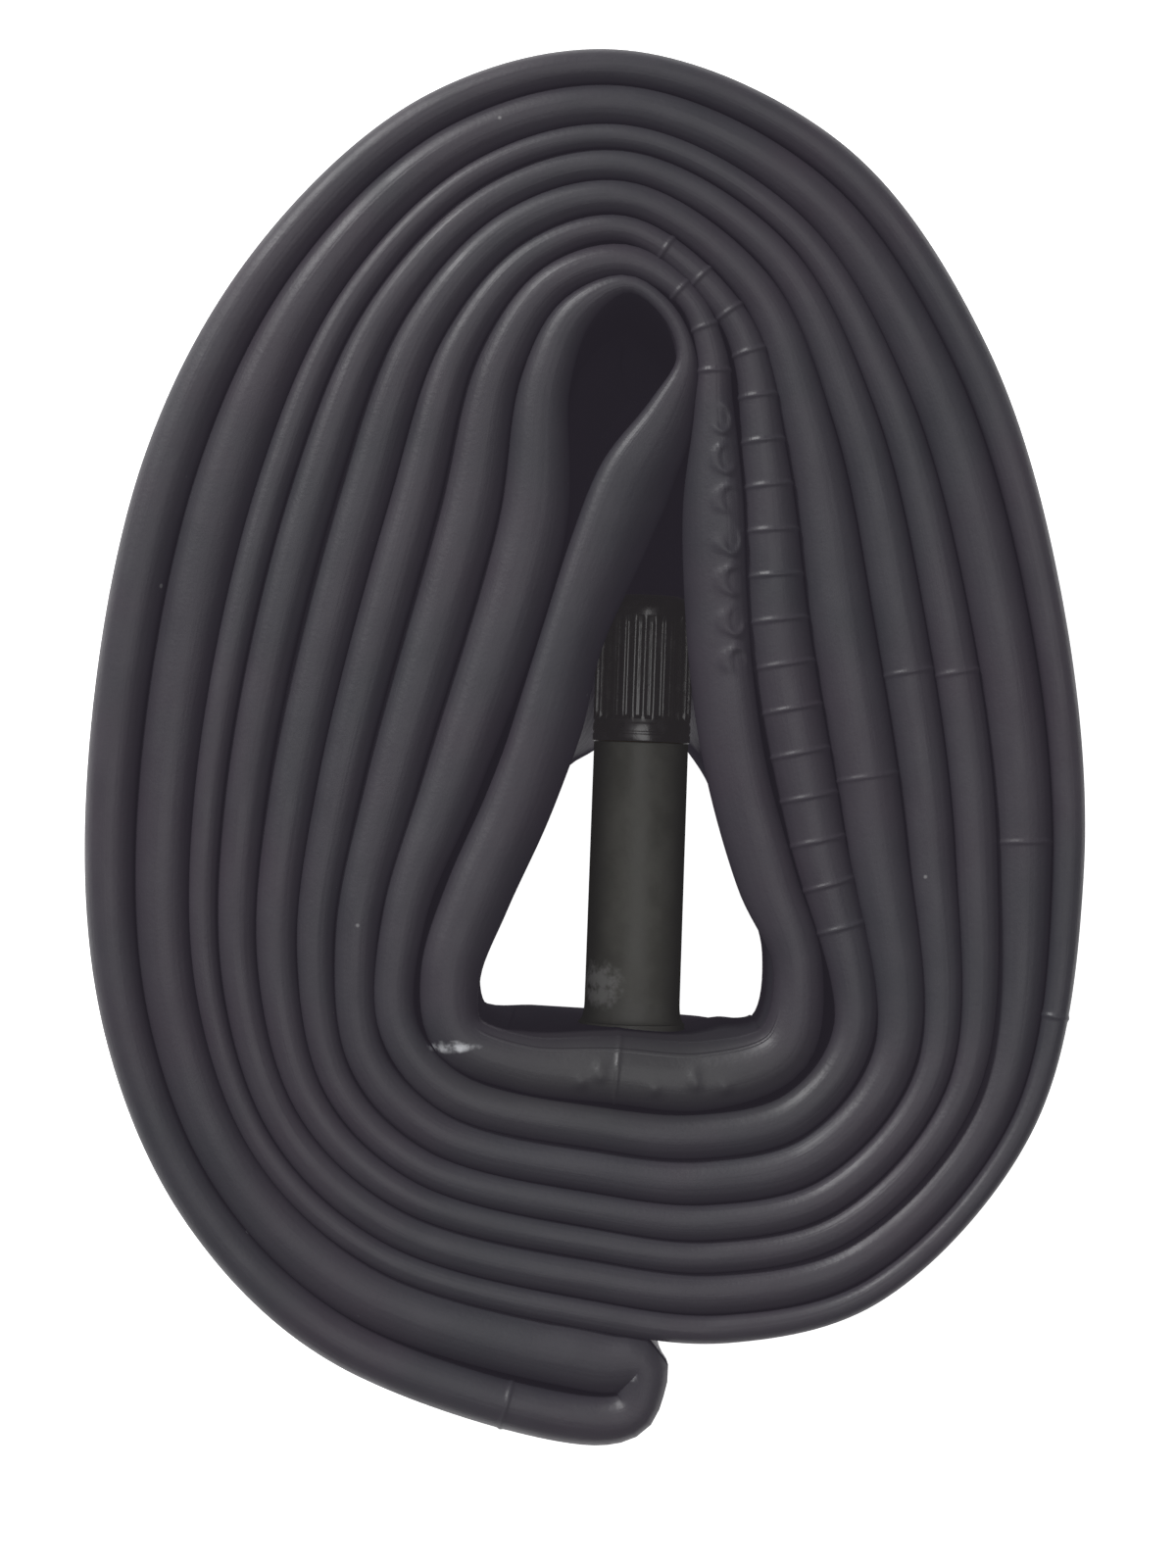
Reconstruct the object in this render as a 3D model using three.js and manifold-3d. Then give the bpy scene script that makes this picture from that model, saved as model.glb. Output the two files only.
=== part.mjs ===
// A bicycle inner tube, rolled up for storage: one butyl tube, pressed flat, folded in two about its
// valve and wound into an egg-shaped roll that lies on its side. Millimetres, +Z up.
// Seen from above, two strands, "first" and "second", leave the hook at the top of the roll and wind
// outwards side by side, anticlockwise. A fold joins them at the free end, the tail.

import * as THREE from "three";
import { mergeVertices } from "three/addons/utils/BufferGeometryUtils.js";
import Module from "manifold-3d";

const wasm = await Module();
wasm.setup();

// ---------- Driving dimensions ----------

const FLAT_WIDTH = 44; // the tube pressed flat, which is the height of the roll
const WALL = 0.9; // butyl wall
const GAP = 0.3; // clearance between neighbouring pieces and laps
const EDGE_BEVEL = 0.8; // how far the flat tube's folded edges round off
const EDGE_RISE = 1.0; // height of that rounding
const CAVITY_MIN = 0.4; // the air space left where the tube is squeezed hardest

const STEM_BASE = [3.95, -20.6]; // where the valve stem leaves the tube, in plan
const STEM_LEAN = -2; // degrees, about Z
const STEM_RADIUS = 4.2;
const STEM_LENGTH = 24.0; // the rubber-covered part
const THREAD_RADIUS = 3.65;
const THREAD_PITCH = 0.794; // 32 threads to the inch
const THREAD_DEPTH = 0.35;
const THREAD_COUNT = 11;
const CAP_RADIUS = 4.4;
const CAP_LENGTH = 13.2;
const CAP_RIBS = 21;

const FOOT_RADIUS = 6.2; // the stem's foot, where it spreads onto the patch
const FOOT_HEIGHT = 2.6;
const PATCH_THICKNESS = 1.0;
const PATCH_WIDTH = 32;
const PATCH_POINTS = [2.6, 6]; // the stretch of the valve seat that it covers, in route points
const AIR_HOLE_RADIUS = 2;

const SHANK_RADIUS = 3.0; // the brass insert, inside the rubber
const BARB_COUNT = 5;
const BARB_PITCH = 4;
const BARB_DEPTH = 0.4;
const BORE_RADIUS = 1.9;
const CHAMBER_RADIUS = 2.15;
const CORE_THREAD_RADIUS = 2.75;
const HEAD = STEM_LENGTH + GAP; // the threaded head starts here
const STEM_TIP = STEM_LENGTH + 11.0;
const SEAT_Y = STEM_LENGTH + 1; // the taper that the core seals on
const CHAMBER_FLOOR = STEM_LENGTH - 9.5;

const PLUG_RADIUS = 2.4; // the valve core
const PLUG_TONGUE = 2.2;
const PLUG_TOP = STEM_TIP - 0.6;
const PLUG_FOOT = STEM_TIP - 5.4;
const PIN_BORE = 1.0;
const PIN_RADIUS = 0.4;
const PIN_TOP = STEM_TIP - 0.4;
const BUTTON_RADIUS = 0.7;
const COLLAR_RADIUS = 0.9;
const COLLAR_Y = PLUG_FOOT - 0.8;
const COLLAR_THICKNESS = 0.4;
const BARREL_RADIUS = 1.75;
const BARREL_BORE = 1.35;
const BARREL_FOOT = STEM_LENGTH - 4;
const BARREL_FLOOR = 0.6;
const CUP_RADIUS = 1.75;
const CUP_WALL = 0.3;
const CUP_TOP = BARREL_FOOT - 0.6;
const CUP_FOOT = BARREL_FOOT - 2.6;
const SPRING_RADIUS = 0.95;
const SPRING_WIRE = 0.17;
const SPRING_TURNS = 6;

const CAP_FOOT = STEM_LENGTH + 0.4; // the dust cap
const CAP_SKIRT = 1.5;
const CAP_DOME = 1.8;
const CAP_CROWN = 2.8; // the flat middle of the dome
const CAP_RIB = 0.25;
const CAP_RIB_ROOT = 0.1; // how far the grooves cut in behind the ribs
const CAP_BORE = 3.85;
const CAP_CEILING = CAP_FOOT + CAP_LENGTH - 1.3;
const CAP_SEAL_THICKNESS = 0.6;

const BUTYL = { color: 0x3c3b40, roughness: 0.62, metalness: 0 };
const STEM_BUTYL = { color: 0x2f302f, roughness: 0.5, metalness: 0 };
const CAP_PLASTIC = { color: 0x1b1b1d, roughness: 0.4, metalness: 0 };
const BRASS = { color: 0xb08d57, roughness: 0.35, metalness: 1 };
const STEEL = { color: 0x9a9b9d, roughness: 0.3, metalness: 1 };
const SEAL_RUBBER = { color: 0x7a2a22, roughness: 0.6, metalness: 0 };
const PTFE = { color: 0xd8d4cc, roughness: 0.5, metalness: 0 };

// ---------- The route of the tube, in plan ----------

// Sixteen spokes cross the roll, anticlockwise from the top of the roll. Each has the point where the
// first strand's innermost lap begins and the point on the outer edge of the roll.
const SPOKES = [
  { inner: [3.3, 39.9], outer: [3.3, 61.7] },
  { inner: [-0.3, 38.3], outer: [-13.1, 58.2] },
  { inner: [-1.8, 32.8], outer: [-27.7, 45.5] },
  { inner: [-2.0, 21.3], outer: [-37.7, 27.0] },
  { inner: [-8.7, 0.8], outer: [-42.4, -2.0] },
  { inner: [-13.3, -10.0], outer: [-40.5, -22.0] },
  { inner: [-14.6, -19.0], outer: [-33.5, -37.5] },
  { inner: [-10.8, -24.3], outer: [-21.5, -48.8] },
  { inner: [0.8, -27.1], outer: [0.8, -55.8] },
  { inner: [9.0, -27.8], outer: [12.0, -47.0] },
  { inner: [16.7, -26.0], outer: [24.5, -43.6] },
  { inner: [20.7, -19.9], outer: [37.5, -29.0] },
  { inner: [16.6, -3.4], outer: [41.7, -8.0] },
  { inner: [13.6, 12.0], outer: [40.0, 15.0] },
  { inner: [13.1, 26.0], outer: [33.5, 37.0] },
  { inner: [11.7, 37.5], outer: [21.5, 53.8] },
];
const LAPS = 3.5; // from the hook to the tail
const TAIL_SPOKE = SPOKES.length / 2; // the tail ends just past this spoke
const TAIL_REACH = 2; // spokes from the tail's end back to where it leaves the roll

// How thick each flattened strand is at every quarter turn from the hook: it is pulled tight over the
// top of the roll and lies looser down its sides, and the last half turn is looser still.
const FIRST_THICKNESS = [2.7, 5.5, 3.6, 5.3, 2.4, 3.9, 2.9, 4.2, 2.6, 3.6, 3.4, 4.8, 3.4, 5.0, 5.4];
const SECOND_THICKNESS = [2.9, 4.8, 3.7, 5.4, 2.9, 4.1, 2.7, 3.7, 2.1, 2.5, 2.5, 2.7, 3.0, 4.3, 4.4];

// The innermost loop, [x, y, thickness]: round the hook, down past the valve cap, under the stem,
// where the valve is moulded on, and up the other side of the stem to the start of the second strand.
const HOOK = [
  [6.5, 38.7, 2.4],
  [7.6, 35.4, 2.5],
  [6.0, 31.4, 3.0],
  [2.9, 26.0, 3.2],
  [-0.4, 20.0, 3.4],
  [-2.8, 12.5, 3.0],
  [-4.6, 5.0, 3.6],
  [-6.9, -2.5, 4.9],
];
const VALVE_SEAT = [
  [-9.8, -9.5, 5.1],
  [-11.8, -16.0, 4.9],
  [-11.0, -21.2, 4.6],
  [-5.5, -23.8, 4.2],
  [2.0, -24.6, 4.6],
  [10.0, -25.1, 4.8],
  [16.6, -22.4, 4.6],
  [17.7, -15.5, 4.2],
];
const RISER = [
  [15.6, -8.0, 4.0],
  [13.4, 0.5, 3.7],
  [12.2, 8.0, 3.7],
  [11.7, 16.0, 3.4],
  [11.3, 24.0, 3.6],
  [10.6, 31.5, 3.4],
  [10.3, 36.2, 2.3],
  [8.4, 40.2, 2.1],
];
// The two strands join here, in the tail's end.
const FOLD = [
  [3.6, -53.0, 3.1],
  [3.9, -49.6, 3.3],
];
const STEPS = 3; // route samples between two of its points

// The value of a per-quarter-turn list, eased between its entries.
function atTurn(list, turns) {
  const quarter = turns * 4;
  const index = Math.min(Math.floor(quarter), list.length - 2);
  return THREE.MathUtils.lerp(
    list[index],
    list[index + 1],
    THREE.MathUtils.smoothstep(quarter - index, 0, 1),
  );
}

// The layers that one spoke crosses, first and second strand in turn, as fractions of its length.
function layersOn(spoke) {
  const laps = spoke <= TAIL_SPOKE ? Math.ceil(LAPS) : Math.floor(LAPS);
  const edges = [0];
  for (let lap = 0; lap < laps; lap += 1) {
    const turns = lap + spoke / SPOKES.length;
    edges.push(edges.at(-1) + atTurn(FIRST_THICKNESS, turns));
    edges.push(edges.at(-1) + atTurn(SECOND_THICKNESS, turns));
  }
  return edges.map((edge) => edge / edges.at(-1));
}

// One strand, from the hook out to the tail: points that hold x, y and the strand's thickness.
function strand(order) {
  const points = [];
  for (let step = 0; step <= LAPS * SPOKES.length; step += 1) {
    const number = step % SPOKES.length;
    const layer = 2 * Math.floor(step / SPOKES.length) + order;
    const edges = layersOn(number);
    const inner = new THREE.Vector2(...SPOKES[number].inner);
    const outer = new THREE.Vector2(...SPOKES[number].outer);
    const middle = inner.clone().lerp(outer, (edges[layer] + edges[layer + 1]) / 2);
    const thickness = (edges[layer + 1] - edges[layer]) * inner.distanceTo(outer);
    points.push(new THREE.Vector3(middle.x, middle.y, thickness));
  }
  return squared(points);
}

// A spoke meets a lap at a slant, so the strand is thinner across than along the spoke.
function squared(points) {
  const spokes = SPOKES.map(({ inner, outer }) =>
    new THREE.Vector2(...outer).sub(new THREE.Vector2(...inner)).normalize(),
  );
  return points.map((point, i) => {
    const before = points[Math.max(i - 1, 0)];
    const after = points[Math.min(i + 1, points.length - 1)];
    const along = new THREE.Vector2(after.x - before.x, after.y - before.y).normalize();
    const slant = Math.abs(along.cross(spokes[i % SPOKES.length]));
    return new THREE.Vector3(point.x, point.y, point.z * slant);
  });
}

// The whole route as one closed run of samples, starting and ending in the tail's fold. Each sample
// holds the middle of the flattened tube, its thickness there, and the direction across it.
function route() {
  const first = strand(0).reverse();
  const second = strand(1);
  const core = [...HOOK, ...VALVE_SEAT, ...RISER].map((p) => new THREE.Vector3(...p));
  const fold = FOLD.map((p) => new THREE.Vector3(...p));
  const points = [...first, ...core, ...second, ...fold];
  const curve = new THREE.CatmullRomCurve3(points, true, "centripetal");
  const samples = curve.getPoints(points.length * STEPS).slice(0, -1);
  const seat = (first.length + HOOK.length) * STEPS;
  return {
    samples: samples.map((sample, i) => {
      const before = samples.at(i - 1);
      const after = samples[(i + 1) % samples.length];
      const across = new THREE.Vector2(before.y - after.y, after.x - before.x).normalize();
      return { middle: new THREE.Vector2(sample.x, sample.y), thickness: sample.z - GAP, across };
    }),
    seat,
  };
}

// ---------- Solids ----------

function solid(geometry) {
  const bare = geometry.clone();
  bare.deleteAttribute("normal");
  bare.deleteAttribute("uv");
  const merged = mergeVertices(bare, 1e-4);
  return new wasm.Manifold(
    new wasm.Mesh({
      numProp: 3,
      vertProperties: merged.attributes.position.array,
      triVerts: new Uint32Array(merged.index.array),
    }),
  );
}

function geometryOf(body) {
  const { vertProperties, triVerts } = body.getMesh();
  const geometry = new THREE.BufferGeometry();
  geometry.setAttribute("position", new THREE.BufferAttribute(new Float32Array(vertProperties), 3));
  geometry.setIndex(new THREE.BufferAttribute(new Uint32Array(triVerts), 1));
  const faceted = geometry.toNonIndexed();
  faceted.computeVertexNormals();
  return faceted;
}

function meshOf(name, geometry, finish) {
  const mesh = new THREE.Mesh(geometry, new THREE.MeshStandardMaterial(finish));
  mesh.name = name;
  return mesh;
}

// The plan outline of a run of samples: up one face of the strand and back down the other.
function outline(samples, widthOf) {
  const side = (sign) =>
    samples.map((sample) =>
      sample.middle.clone().addScaledVector(sample.across, (sign * widthOf(sample)) / 2),
    );
  return new THREE.Shape([...side(-1), ...side(1).reverse()]);
}

// A flattened, hollow length of tube: `run` is its skin, and its air space is cut along `airRun`.
function flatTube(run, airRun) {
  const skin = new THREE.ExtrudeGeometry(
    outline(run, (sample) => sample.thickness),
    {
      depth: FLAT_WIDTH - 2 * EDGE_RISE,
      bevelThickness: EDGE_RISE,
      bevelSize: EDGE_BEVEL,
      bevelOffset: -EDGE_BEVEL,
      bevelSegments: 1,
    },
  ).translate(0, 0, EDGE_RISE);
  const air = new THREE.ExtrudeGeometry(
    outline(airRun, (sample) => Math.max(CAVITY_MIN, sample.thickness - 2 * WALL)),
    { depth: FLAT_WIDTH - 2 * WALL, bevelEnabled: false },
  ).translate(0, 0, WALL);
  return solid(skin).subtract(solid(air));
}

// Moves the two ends of a run inwards, so that the cut between roll and tail has its clearance.
function trimmed(run) {
  const shift = (end, towards) => ({
    ...end,
    middle: end.middle.clone().add(
      towards.middle.clone().sub(end.middle).setLength(GAP / 2),
    ),
  });
  return [shift(run[0], run[1]), ...run.slice(1, -1), shift(run.at(-1), run.at(-2))];
}

function lathe(points, segments = 24) {
  const profile = points.map(([radius, y]) => new THREE.Vector2(radius, y));
  return new THREE.LatheGeometry([...profile, profile[0]], segments);
}

// A rod along the stem's axis, from y = from to y = to.
function rod(radius, from, to, segments = 24) {
  return new THREE.CylinderGeometry(radius, radius, to - from, segments).translate(
    0,
    (from + to) / 2,
    0,
  );
}

// ---------- The tube ----------

const { samples: ROUTE, seat: SEAT } = route();
const CUT_FIRST = TAIL_REACH * STEPS; // where the tail leaves the roll, on the first strand
const CUT_SECOND = ROUTE.length - (FOLD.length + 1 + TAIL_REACH) * STEPS; // and on the second

function stemFrame() {
  const frame = new THREE.Group();
  frame.position.set(...STEM_BASE, FLAT_WIDTH / 2);
  frame.rotation.z = THREE.MathUtils.degToRad(STEM_LEAN);
  frame.updateMatrix();
  return frame;
}

// The air hole under the stem, through the patch and the tube's wall.
function airHole() {
  return solid(rod(AIR_HOLE_RADIUS, -4.2, 1, 16).applyMatrix4(stemFrame().matrix));
}

function tubeRoll() {
  const run = trimmed(ROUTE.slice(CUT_FIRST, CUT_SECOND + 1));
  const air = ROUTE.slice(CUT_FIRST - 1, CUT_SECOND + 2);
  return meshOf("tube_roll", geometryOf(flatTube(run, air).subtract(airHole())), BUTYL);
}

// The tail is free to swing out from the roll, so it keeps a little clear of the lap it lies on.
function tubeTail() {
  const thinner = (sample) => ({ ...sample, thickness: sample.thickness - 1.5 * GAP });
  const around = (from, to) => [...ROUTE.slice(from), ...ROUTE.slice(0, to + 1)].map(thinner);
  const run = trimmed(around(CUT_SECOND, CUT_FIRST));
  const air = around(CUT_SECOND - 1, CUT_FIRST + 1);
  return meshOf("tube_tail", geometryOf(flatTube(run, air)), BUTYL);
}

// The reinforcing patch lies on the tube's face under the stem and follows its bend.
function valvePatch() {
  const [from, to] = PATCH_POINTS.map((point) => SEAT + Math.round(point * STEPS));
  const run = ROUTE.slice(from, to + 1).map((sample) => ({
    ...sample,
    middle: sample.middle
      .clone()
      .addScaledVector(sample.across, sample.thickness / 2 + GAP + PATCH_THICKNESS / 2),
    thickness: PATCH_THICKNESS,
  }));
  const sheet = new THREE.ExtrudeGeometry(
    outline(run, (sample) => sample.thickness),
    { depth: PATCH_WIDTH, bevelEnabled: false },
  ).translate(0, 0, (FLAT_WIDTH - PATCH_WIDTH) / 2);
  return meshOf("valve_patch", geometryOf(solid(sheet).subtract(airHole())), BUTYL);
}

// ---------- The valve, along its own Y axis from the foot of the stem ----------

function stemCover() {
  const fillet = [];
  for (let step = 0; step <= 4; step += 1) {
    const turn = (step / 4) * (Math.PI / 2);
    fillet.push([
      FOOT_RADIUS - (FOOT_RADIUS - STEM_RADIUS) * Math.sin(turn),
      0.6 + FOOT_HEIGHT * (1 - Math.cos(turn)),
    ]);
  }
  const profile = [
    [SHANK_RADIUS + GAP, 0],
    [FOOT_RADIUS, 0],
    ...fillet,
    [STEM_RADIUS, STEM_LENGTH - 0.4],
    [STEM_RADIUS - 0.4, STEM_LENGTH],
    [SHANK_RADIUS + GAP, STEM_LENGTH],
  ];
  return meshOf("stem_cover", lathe(profile), STEM_BUTYL);
}

// The brass insert: barbs that hold it in the rubber, the thread for the cap, and the stepped bore.
function stemInsert() {
  const barbs = [];
  for (let barb = 0; barb < BARB_COUNT; barb += 1) {
    const y = FOOT_HEIGHT + barb * BARB_PITCH;
    barbs.push([SHANK_RADIUS - BARB_DEPTH, y]);
    barbs.push([SHANK_RADIUS, y + BARB_PITCH / 2]);
    barbs.push([SHANK_RADIUS - BARB_DEPTH, y + BARB_PITCH / 2 + 0.2]);
  }
  const thread = [];
  for (let turn = 0; turn < THREAD_COUNT; turn += 1) {
    const y = HEAD + 0.9 + turn * THREAD_PITCH;
    thread.push([THREAD_RADIUS - THREAD_DEPTH, y]);
    thread.push([THREAD_RADIUS, y + THREAD_PITCH / 2]);
  }
  const profile = [
    [BORE_RADIUS, 0.2],
    [SHANK_RADIUS, 0.2],
    ...barbs,
    [SHANK_RADIUS, HEAD - 0.6],
    [SHANK_RADIUS, HEAD],
    [THREAD_RADIUS, HEAD],
    ...thread,
    [THREAD_RADIUS - THREAD_DEPTH, HEAD + 0.9 + THREAD_COUNT * THREAD_PITCH],
    [THREAD_RADIUS - 0.5, STEM_TIP],
    [CORE_THREAD_RADIUS, STEM_TIP],
    [CORE_THREAD_RADIUS, SEAT_Y + 1.2],
    [CHAMBER_RADIUS, SEAT_Y],
    [CHAMBER_RADIUS, CHAMBER_FLOOR],
    [BORE_RADIUS, CHAMBER_FLOOR - 0.5],
  ];
  return meshOf("stem_insert", lathe(profile, 16), BRASS);
}

// The core's plug screws into the insert. Two flats on its top take the core key.
function corePlug() {
  const flat = (side) =>
    solid(new THREE.BoxGeometry(2, 2, 6).translate(side * (1 + PLUG_TONGUE / 2), PLUG_TOP, 0));
  const body = solid(
    lathe([
      [PIN_BORE, PLUG_FOOT],
      [PLUG_RADIUS, PLUG_FOOT],
      [PLUG_RADIUS, PLUG_TOP],
      [PIN_BORE, PLUG_TOP],
    ]),
  );
  return meshOf("core_plug", geometryOf(body.subtract(flat(1)).subtract(flat(-1))), BRASS);
}

function coreBarrel() {
  const profile = [
    [PIN_RADIUS + GAP, BARREL_FOOT],
    [BARREL_RADIUS, BARREL_FOOT],
    [BARREL_RADIUS, PLUG_FOOT - GAP],
    [BARREL_BORE, PLUG_FOOT - GAP],
    [BARREL_BORE, BARREL_FOOT + BARREL_FLOOR],
    [PIN_RADIUS + GAP, BARREL_FOOT + BARREL_FLOOR],
  ];
  return meshOf("core_barrel", lathe(profile), BRASS);
}

function coreGasket() {
  const profile = [
    [BARREL_RADIUS + GAP, SEAT_Y + 1.2],
    [CORE_THREAD_RADIUS - GAP, SEAT_Y + 1.2],
    [CORE_THREAD_RADIUS - GAP, SEAT_Y + 2.6],
    [BARREL_RADIUS + GAP, SEAT_Y + 2.6],
  ];
  return meshOf("core_gasket", lathe(profile, 20), PTFE);
}

// The pin: its button is pressed to let air in or out, and its collar is what the spring pushes on.
function corePin() {
  const profile = [
    [0, CUP_FOOT + 0.4],
    [PIN_RADIUS, CUP_FOOT + 0.4],
    [PIN_RADIUS, COLLAR_Y - COLLAR_THICKNESS],
    [COLLAR_RADIUS, COLLAR_Y - COLLAR_THICKNESS],
    [COLLAR_RADIUS, COLLAR_Y],
    [PIN_RADIUS, COLLAR_Y],
    [PIN_RADIUS, PIN_TOP - 0.9],
    [BUTTON_RADIUS, PIN_TOP - 0.9],
    [BUTTON_RADIUS, PIN_TOP - 0.2],
    [BUTTON_RADIUS - 0.2, PIN_TOP],
    [0, PIN_TOP],
  ].map(([radius, y]) => new THREE.Vector2(radius, y));
  return meshOf("core_pin", new THREE.LatheGeometry(profile, 12), BRASS);
}

class Helix extends THREE.Curve {
  constructor(radius, from, to, turns) {
    super();
    Object.assign(this, { radius, from, to, turns });
  }

  getPoint(t, target = new THREE.Vector3()) {
    const turn = 2 * Math.PI * this.turns * t;
    return target.set(
      this.radius * Math.cos(turn),
      THREE.MathUtils.lerp(this.from, this.to, t),
      this.radius * Math.sin(turn),
    );
  }
}

function coreSpring() {
  const wire = new THREE.Shape();
  for (let side = 0; side < 6; side += 1) {
    const turn = (side / 6) * 2 * Math.PI;
    const x = SPRING_WIRE * Math.cos(turn);
    const y = SPRING_WIRE * Math.sin(turn);
    if (side === 0) wire.moveTo(x, y);
    else wire.lineTo(x, y);
  }
  const low = BARREL_FOOT + BARREL_FLOOR + SPRING_WIRE + GAP / 2;
  const high = COLLAR_Y - COLLAR_THICKNESS - SPRING_WIRE - GAP / 2;
  const path = new Helix(SPRING_RADIUS, low, high, SPRING_TURNS);
  const geometry = new THREE.ExtrudeGeometry(wire, {
    steps: SPRING_TURNS * 10,
    bevelEnabled: false,
    extrudePath: path,
  });
  return meshOf("core_spring", geometry, STEEL);
}

function coreCup() {
  const profile = [
    [PIN_RADIUS + GAP, CUP_FOOT],
    [CUP_RADIUS - CUP_WALL, CUP_FOOT],
    [CUP_RADIUS, CUP_FOOT + 0.5],
    [CUP_RADIUS, CUP_TOP],
    [CUP_RADIUS - CUP_WALL, CUP_TOP],
    [CUP_RADIUS - CUP_WALL, CUP_TOP - 0.6],
    [PIN_RADIUS + GAP, CUP_TOP - 0.6],
  ];
  return meshOf("core_cup", lathe(profile, 20), BRASS);
}

function coreSeal() {
  const profile = [
    [PIN_RADIUS + GAP, CUP_TOP - 0.3],
    [CUP_RADIUS - CUP_WALL - GAP, CUP_TOP - 0.3],
    [CUP_RADIUS - CUP_WALL - GAP, BARREL_FOOT - GAP],
    [PIN_RADIUS + GAP, BARREL_FOOT - GAP],
  ];
  return meshOf("core_seal", lathe(profile, 20), SEAL_RUBBER);
}

// The dust cap: a domed plastic cap with a plain skirt and fine ribs to turn it by.
function valveCap() {
  const top = CAP_FOOT + CAP_LENGTH;
  const dome = [];
  for (let step = 0; step <= 4; step += 1) {
    const turn = (step / 4) * (Math.PI / 2);
    dome.push(
      new THREE.Vector2(
        CAP_CROWN + (CAP_RADIUS - CAP_RIB - CAP_CROWN) * Math.cos(turn),
        top - CAP_DOME * (1 - Math.sin(turn)),
      ),
    );
  }
  const body = [
    new THREE.Vector2(0, CAP_FOOT),
    new THREE.Vector2(CAP_RADIUS, CAP_FOOT),
    new THREE.Vector2(CAP_RADIUS, CAP_FOOT + CAP_SKIRT),
    new THREE.Vector2(CAP_RADIUS - CAP_RIB, CAP_FOOT + CAP_SKIRT + 0.2),
    ...dome,
    new THREE.Vector2(0, top),
  ];
  const ribbed = new THREE.Shape();
  for (let corner = 0; corner < CAP_RIBS * 4; corner += 1) {
    const turn = (corner / (CAP_RIBS * 4)) * 2 * Math.PI;
    const radius = corner % 4 < 2 ? CAP_RADIUS : CAP_RADIUS - CAP_RIB - CAP_RIB_ROOT;
    if (corner === 0) ribbed.moveTo(radius * Math.cos(turn), radius * Math.sin(turn));
    else ribbed.lineTo(radius * Math.cos(turn), radius * Math.sin(turn));
  }
  const ribs = new THREE.ExtrudeGeometry(ribbed, {
    depth: CAP_LENGTH - CAP_SKIRT - CAP_DOME - 0.7,
    bevelEnabled: false,
  })
    .rotateX(-Math.PI / 2)
    .translate(0, CAP_FOOT + CAP_SKIRT + 0.5, 0);
  const hollow = rod(CAP_BORE, CAP_FOOT - 1, CAP_CEILING);
  const shell = solid(new THREE.LatheGeometry(body, 24)).add(solid(ribs)).subtract(solid(hollow));
  return meshOf("valve_cap", geometryOf(shell), CAP_PLASTIC);
}

function capSeal() {
  const disc = rod(CAP_BORE - GAP, CAP_CEILING - GAP - CAP_SEAL_THICKNESS, CAP_CEILING - GAP);
  return meshOf("cap_seal", disc, SEAL_RUBBER);
}

function valve() {
  const frame = stemFrame();
  frame.add(stemCover(), stemInsert());
  frame.add(corePlug(), coreBarrel(), coreGasket(), corePin(), coreSpring(), coreCup(), coreSeal());
  frame.add(valveCap(), capSeal());
  return frame;
}

// ---------- The assembly, standing on the middle of its own footprint ----------

function innerTube() {
  const tube = new THREE.Group();
  tube.add(tubeRoll(), tubeTail(), valvePatch(), valve());
  tube.updateMatrixWorld(true);
  const box = new THREE.Box3().setFromObject(tube, true);
  const centre = box.getCenter(new THREE.Vector3());
  tube.position.set(-centre.x, -centre.y, -box.min.z);
  const part = new THREE.Group();
  part.add(tube);
  return part;
}

export default innerTube();
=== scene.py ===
"""A rolled-up bicycle inner tube, lying on its side and seen from straight above.

The tube is swept along its own route: two strands wound side by side from a hook at the top of the
roll, round the valve in the middle, and joined by a fold at the free end. Lengths in the tables are
millimetres in the roll's drawing; points made from them are metres in the model's frame.
"""

import math

import bpy
import numpy as np
from mathutils import Matrix, Vector


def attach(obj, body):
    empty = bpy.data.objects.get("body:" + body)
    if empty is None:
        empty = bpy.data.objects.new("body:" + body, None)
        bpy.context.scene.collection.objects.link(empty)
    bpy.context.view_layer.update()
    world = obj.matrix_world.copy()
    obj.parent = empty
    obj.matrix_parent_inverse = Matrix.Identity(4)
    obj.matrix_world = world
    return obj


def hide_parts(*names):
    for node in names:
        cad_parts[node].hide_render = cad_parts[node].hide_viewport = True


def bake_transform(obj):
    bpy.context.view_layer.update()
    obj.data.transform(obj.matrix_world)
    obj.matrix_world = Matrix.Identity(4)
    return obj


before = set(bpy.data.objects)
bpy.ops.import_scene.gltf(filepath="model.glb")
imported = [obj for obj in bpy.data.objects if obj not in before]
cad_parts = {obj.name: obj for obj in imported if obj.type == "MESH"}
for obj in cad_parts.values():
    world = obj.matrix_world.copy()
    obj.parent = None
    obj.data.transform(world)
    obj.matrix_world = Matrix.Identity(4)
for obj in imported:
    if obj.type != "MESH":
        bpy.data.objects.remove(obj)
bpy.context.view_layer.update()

MM = 0.001
DRAWING_SHIFT = np.array([0.311, -3.110])  # the drawing's origin, from the middle of the footprint
FLAT_WIDTH = 44.0  # the tube pressed flat
CLOSE_FIT = 0.06  # left between the laps

# ---------- The route of the tube ----------

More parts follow.
